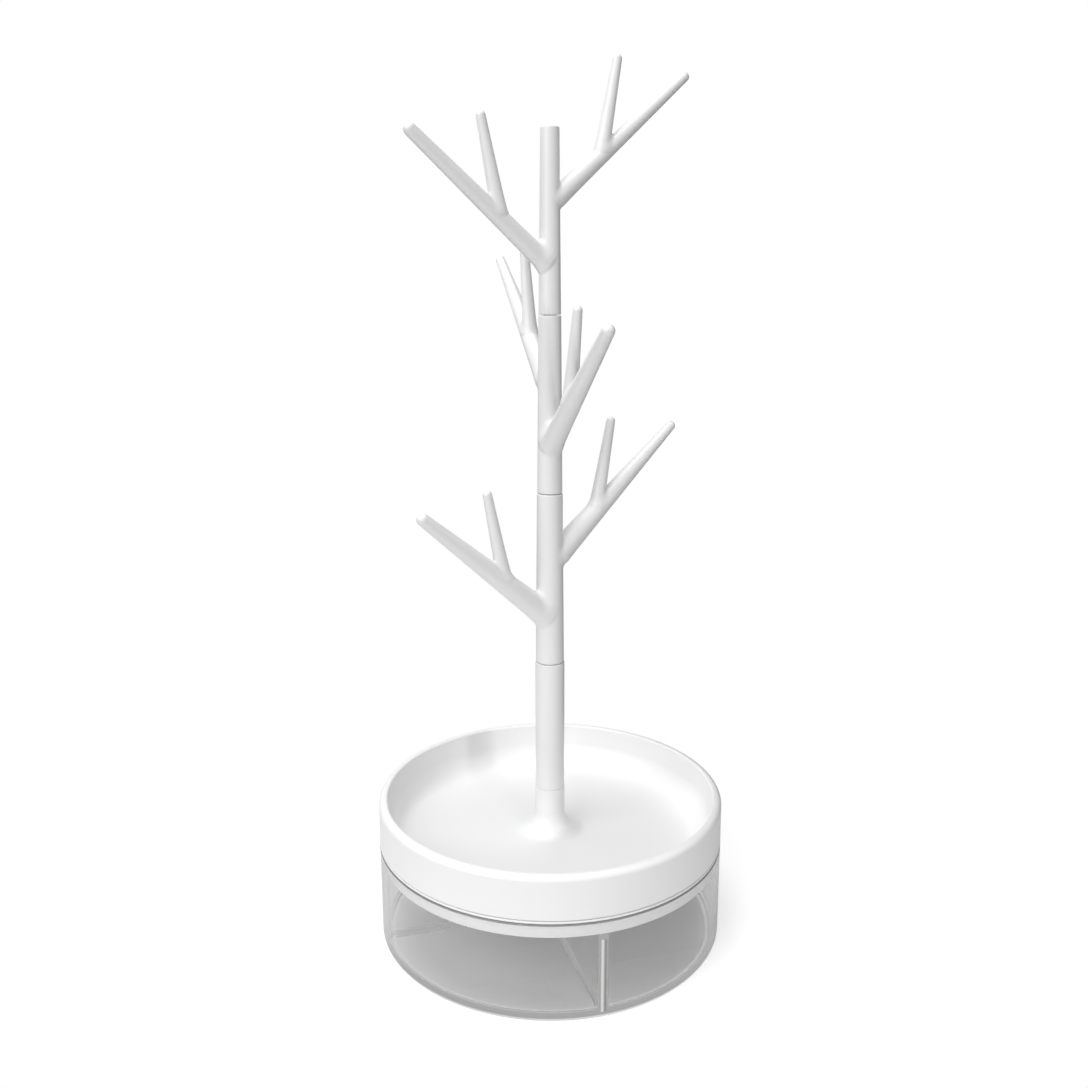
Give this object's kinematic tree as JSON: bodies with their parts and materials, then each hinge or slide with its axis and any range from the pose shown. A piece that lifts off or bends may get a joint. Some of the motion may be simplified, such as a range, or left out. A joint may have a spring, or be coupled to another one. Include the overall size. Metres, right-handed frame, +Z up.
{
  "type": "rotating jewelry box",
  "caption": "Round clear tub with compartments under a turning white dish lid that carries a trunk of forked branches for hanging jewelry.",
  "frame": {"origin": "middle of the tub's underside, on the surface it stands on", "axes": "+Z up along the trunk; -Y is the front of the picture's view"},
  "size_m": [0.145, 0.145, 0.3592],
  "materials": {
    "clear_plastic": "clear gloss, moulded",
    "white_plastic": "white satin gloss, moulded",
    "steel": "zinc plated"
  },
  "bodies": {
    "box": {"tub": "clear_plastic"},
    "plate": {"swivel_plate": "white_plastic"},
    "turning_tray": {"tray": "white_plastic", "base_post": "white_plastic", "pivot_washer": "steel", "pivot_screw": "steel"},
    "lower_branches": {"lower_tier": "white_plastic"},
    "middle_branches": {"middle_tier": "white_plastic"},
    "upper_branches": {"upper_tier": "white_plastic"}
  },
  "joints": [
    {"name": "lid_lift", "type": "slide", "parent": "box", "child": "plate", "axis": [0, 0, 1], "range_m": [0, 0.045]},
    {"name": "tray_turn", "type": "hinge", "parent": "plate", "child": "turning_tray", "pos_m": [0, 0, 0.0418], "axis": [0, 0, 1], "continuous": true},
    {"name": "lower_tier_turn", "type": "hinge", "parent": "turning_tray", "child": "lower_branches", "pos_m": [0, 0, 0.1154], "axis": [0, 0, 1], "continuous": true},
    {"name": "middle_tier_turn", "type": "hinge", "parent": "lower_branches", "child": "middle_branches", "pos_m": [0, 0, 0.1869], "axis": [0, 0, 1], "continuous": true},
    {"name": "upper_tier_turn", "type": "hinge", "parent": "middle_branches", "child": "upper_branches", "pos_m": [0, 0, 0.2584], "axis": [0, 0, 1], "continuous": true}
  ]
}
